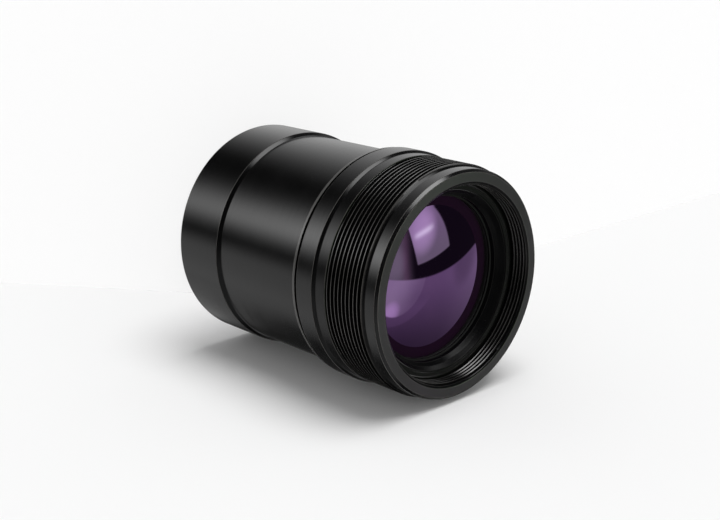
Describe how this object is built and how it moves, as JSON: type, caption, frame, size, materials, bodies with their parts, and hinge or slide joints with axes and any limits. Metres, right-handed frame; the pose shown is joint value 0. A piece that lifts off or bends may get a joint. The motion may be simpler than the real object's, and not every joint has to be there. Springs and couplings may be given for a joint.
{
  "type": "thermal imaging lens",
  "caption": "Black anodised thermal imaging lens: smooth cylindrical barrel with a rear collar, threaded front cell and a recessed violet-coated front glass.",
  "frame": {"origin": "centre of the rear face, on the optical axis, where the lens stands", "axes": "+Z along the optical axis, out of the front glass; X and Y across it, with the guide pin inside on +Y"},
  "size_m": [0.0348, 0.0348, 0.0436],
  "materials": {
    "barrel_anodised": "satin black anodised, fine turned grain",
    "cell_anodised": "satin black anodised, fine threads",
    "ring_anodised": "satin black anodised",
    "inner_anodised": "matt black anodised",
    "coated_glass": "polished, violet anti-reflection coating",
    "inner_glass": "polished, coated",
    "seal_rubber": "matt black",
    "expansion_plastic": "natural, turned",
    "glide_plastic": "natural",
    "spring_steel": "bright"
  },
  "bodies": {
    "root": {"main_barrel": "barrel_anodised", "front_cell": "cell_anodised", "front_retaining_ring": "ring_anodised", "front_slip_ring": "ring_anodised", "rear_retaining_ring": "ring_anodised", "rear_slip_ring": "ring_anodised", "front_glass": "coated_glass", "rear_glass": "coated_glass", "corrector_glass": "inner_glass", "middle_glass": "inner_glass", "front_seal": "seal_rubber", "rear_seal": "seal_rubber", "cell_seal": "seal_rubber", "light_baffle": "inner_anodised", "sliding_cell": "inner_anodised", "stop_spacer": "inner_anodised", "aperture_stop": "inner_anodised", "middle_retaining_ring": "inner_anodised", "expansion_ring": "expansion_plastic", "upper_glide_ring": "glide_plastic", "lower_glide_ring": "glide_plastic", "disc_spring": "spring_steel", "thrust_washer": "spring_steel", "guide_pin": "spring_steel"}
  },
  "joints": []
}
